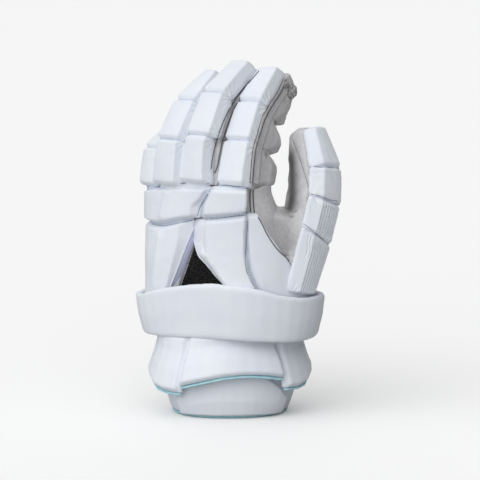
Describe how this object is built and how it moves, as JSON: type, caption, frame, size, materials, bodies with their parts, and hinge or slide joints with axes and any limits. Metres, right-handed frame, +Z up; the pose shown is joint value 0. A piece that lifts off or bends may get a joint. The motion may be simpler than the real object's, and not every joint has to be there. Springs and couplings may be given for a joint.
{
  "type": "lacrosse glove",
  "caption": "Padded left-hand lacrosse glove with jointed finger and thumb pads, a mesh vent, a wrist strap and a flared cuff, standing on its rim.",
  "frame": {"origin": "on the surface that the cuff's rim stands on, under the middle of the glove's box", "axes": "+Z up from the cuff to the fingertips, -Y out of the back of the hand, +X to the thumb"},
  "size_m": [0.1888, 0.1354, 0.323],
  "materials": {
    "white": "satin",
    "grey": "matt suede",
    "mesh": "matt knitted",
    "teal": "matt woven binding"
  },
  "bodies": {
    "root": {"wrist_strap": "white", "stall_index": "grey", "stall_middle": "grey", "stall_ring": "grey", "stall_little": "grey", "index_pad_1": "white", "index_pad_2": "white", "index_pad_3": "white", "middle_pad_1": "white", "middle_pad_2": "white", "middle_pad_3": "white", "ring_pad_1": "white", "ring_pad_2": "white", "ring_pad_3": "white", "little_pad_1": "white", "little_pad_2": "white", "little_pad_3": "white", "knuckle_pad_outer": "white", "knuckle_pad_inner": "white", "back_pad_outer": "white", "back_pad_inner": "white", "side_panel": "white", "vent_mesh": "mesh", "stall_thumb": "grey", "thumb_pad_1": "white", "thumb_pad_2": "white", "thumb_pad_3": "white", "thumb_pad_4": "white", "palm_body": "grey", "wrist_cuff": "white", "cuff_edging": "teal", "cuff_front_panel": "white", "cuff_flap_centre": "white", "cuff_flap_outer": "white", "cuff_flap_thumb": "white", "flap_edging_centre": "teal", "flap_edging_outer": "teal", "flap_edging_thumb": "teal"}
  },
  "joints": []
}
